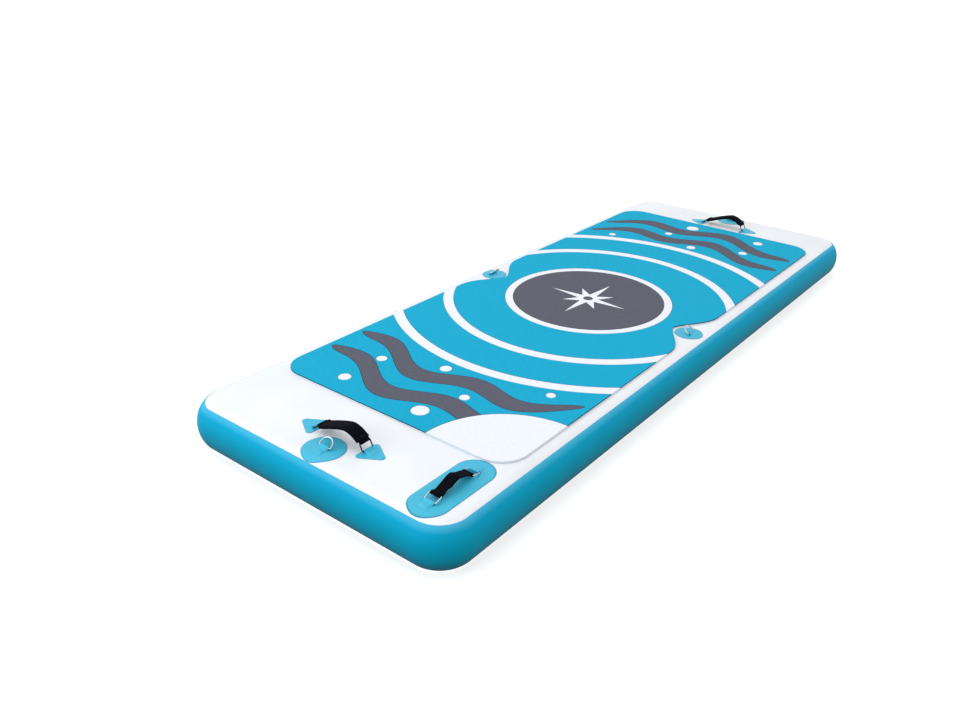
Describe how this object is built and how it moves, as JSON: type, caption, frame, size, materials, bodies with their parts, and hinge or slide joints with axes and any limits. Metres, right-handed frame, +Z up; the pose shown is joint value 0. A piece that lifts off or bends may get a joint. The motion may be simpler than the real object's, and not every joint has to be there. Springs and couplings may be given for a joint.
{
  "type": "swim float mat",
  "caption": "Inflatable drop-stitch swim float mat with an inlaid foam deck pad, padded carry handles, lashing rings, an accessory strap and an inflation valve.",
  "frame": {"origin": "middle of the underside, on the surface that the mat lies on", "axes": "+X to the right long side, +Y along the mat from the end with the accessory strap to the end with the valve, +Z up through the deck"},
  "size_m": [0.816, 2.2, 0.1646],
  "materials": {
    "drop_stitch": "polyester threads and air between two woven faces",
    "white_pvc": "satin coated fabric",
    "teal_pvc": "glossy coated fabric",
    "patch_pvc": "satin welded patch",
    "white_foam": "brushed closed-cell foam",
    "blue_foam": "brushed closed-cell foam",
    "slate_foam": "brushed closed-cell foam",
    "steel": "polished stainless wire",
    "black_metal": "black coated wire",
    "black_webbing": "woven polyester webbing",
    "black_neoprene": "padded neoprene sleeve",
    "valve_plastic": "moulded plastic",
    "white_plastic": "moulded plastic",
    "seal_rubber": "moulded rubber",
    "spring_steel": "drawn wire"
  },
  "bodies": {
    "mat": {"drop_stitch_core": "drop_stitch", "top_skin": "white_pvc", "bottom_skin": "white_pvc", "side_rail": "teal_pvc", "deck_pad_base": "white_foam", "centre_disc": "slate_foam", "compass_star": "white_foam", "inner_ring_field": "blue_foam", "outer_ring_near": "blue_foam", "outer_ring_far": "blue_foam", "wave_band_near_inner": "slate_foam", "wave_band_near_outer": "slate_foam", "wave_band_far_inner": "slate_foam", "wave_band_far_outer": "slate_foam", "end_field_near": "blue_foam", "end_field_far": "blue_foam", "near_lashing_patch": "patch_pvc", "near_lashing_tab": "patch_pvc", "far_lashing_patch": "patch_pvc", "far_lashing_tab": "patch_pvc", "left_lashing_patch": "patch_pvc", "left_lashing_tab": "patch_pvc", "right_lashing_patch": "patch_pvc", "right_lashing_tab": "patch_pvc", "near_handle_left_patch": "patch_pvc", "near_handle_left_tab": "patch_pvc", "near_handle_right_patch": "patch_pvc", "near_handle_right_tab": "patch_pvc", "far_handle_left_patch": "patch_pvc", "far_handle_left_tab": "patch_pvc", "far_handle_right_patch": "patch_pvc", "far_handle_right_tab": "patch_pvc", "accessory_patch": "patch_pvc", "accessory_near_tab": "patch_pvc", "accessory_far_tab": "patch_pvc", "valve_housing": "valve_plastic", "valve_spring": "spring_steel"},
    "near_d_ring": {"near_lashing_ring": "steel"},
    "far_d_ring": {"far_lashing_ring": "steel"},
    "left_d_ring": {"left_lashing_ring": "steel"},
    "right_d_ring": {"right_lashing_ring": "steel"},
    "near_right_loop": {"near_handle_right_ring": "black_metal"},
    "near_left_loop": {"near_handle_left_ring": "black_metal"},
    "near_handle": {"near_handle_webbing": "black_webbing", "near_handle_grip": "black_neoprene"},
    "far_right_loop": {"far_handle_right_ring": "black_metal"},
    "far_left_loop": {"far_handle_left_ring": "black_metal"},
    "far_handle": {"far_handle_webbing": "black_webbing", "far_handle_grip": "black_neoprene"},
    "accessory_near_loop": {"accessory_near_ring": "steel"},
    "loop_strap": {"accessory_loop_strap": "black_webbing"},
    "hook_strap": {"accessory_far_ring": "steel", "accessory_hook_strap": "black_webbing"},
    "cap": {"valve_cap": "valve_plastic"},
    "stem": {"valve_stem": "white_plastic", "valve_seal": "seal_rubber"}
  },
  "joints": [
    {"name": "near_ring_swing", "type": "hinge", "parent": "mat", "child": "near_d_ring", "pos_m": [0.008, -1.0245, 0.1253], "axis": [1, 0, 0], "range_deg": [-38, 125]},
    {"name": "far_ring_swing", "type": "hinge", "parent": "mat", "child": "far_d_ring", "pos_m": [0, 1.0245, 0.1253], "axis": [-1, 0, 0], "range_deg": [-38, 125]},
    {"name": "left_ring_swing", "type": "hinge", "parent": "mat", "child": "left_d_ring", "pos_m": [-0.342, 0.006, 0.1253], "axis": [0, -1, 0], "range_deg": [-38, 125]},
    {"name": "right_ring_swing", "type": "hinge", "parent": "mat", "child": "right_d_ring", "pos_m": [0.342, 0.006, 0.1253], "axis": [0, 1, 0], "range_deg": [-38, 125]},
    {"name": "near_handle_sway", "type": "hinge", "parent": "mat", "child": "near_right_loop", "pos_m": [0.0855, -0.9735, 0.1248], "axis": [0, 1, 0], "range_deg": [-34, 0]},
    {"name": "near_left_loop_turn", "type": "hinge", "parent": "mat", "child": "near_left_loop", "pos_m": [-0.0695, -0.9735, 0.1248], "axis": [0, 1, 0], "range_deg": [-34, 0]},
    {"name": "near_handle_turn", "type": "hinge", "parent": "near_right_loop", "child": "near_handle", "pos_m": [0.07642, -0.9735, 0.14262], "axis": [0, 1, 0], "range_deg": [0, 41.4]},
    {"name": "far_handle_sway", "type": "hinge", "parent": "mat", "child": "far_right_loop", "pos_m": [0.0855, 0.943, 0.1248], "axis": [0, 1, 0], "range_deg": [-34, 0]},
    {"name": "far_left_loop_turn", "type": "hinge", "parent": "mat", "child": "far_left_loop", "pos_m": [-0.0695, 0.943, 0.1248], "axis": [0, 1, 0], "range_deg": [-34, 0]},
    {"name": "far_handle_turn", "type": "hinge", "parent": "far_right_loop", "child": "far_handle", "pos_m": [0.07642, 0.943, 0.14262], "axis": [0, 1, 0], "range_deg": [0, 41.4]},
    {"name": "accessory_loop_lift", "type": "hinge", "parent": "mat", "child": "accessory_near_loop", "pos_m": [0.3055, -1.0265, 0.1248], "axis": [1, 0, 0], "range_deg": [0, 60]},
    {"name": "loop_strap_flap", "type": "hinge", "parent": "accessory_near_loop", "child": "loop_strap", "pos_m": [0.3055, -1.00748, 0.13098], "axis": [1, 0, 0], "range_deg": [0, 110]},
    {"name": "hook_strap_lift", "type": "hinge", "parent": "mat", "child": "hook_strap", "pos_m": [0.3055, -0.8895, 0.1248], "axis": [-1, 0, 0], "range_deg": [0, 17]},
    {"name": "valve_cap_draw", "type": "slide", "parent": "mat", "child": "cap", "axis": [0, 1, 0], "range_m": [0, 0.03]},
    {"name": "valve_press", "type": "slide", "parent": "mat", "child": "stem", "axis": [0, -1, 0], "range_m": [0, 0.005], "stiffness_N_per_m": 400, "deforming": ["valve_spring"]}
  ],
  "couplings": [
    {"joint": "near_left_loop_turn", "follows": "near_handle_sway", "ratio": 1},
    {"joint": "near_handle_turn", "follows": "near_handle_sway", "ratio": -1.215},
    {"joint": "far_left_loop_turn", "follows": "far_handle_sway", "ratio": 1},
    {"joint": "far_handle_turn", "follows": "far_handle_sway", "ratio": -1.215},
    {"joint": "hook_strap_lift", "follows": "loop_strap_flap", "ratio": 0.15}
  ]
}
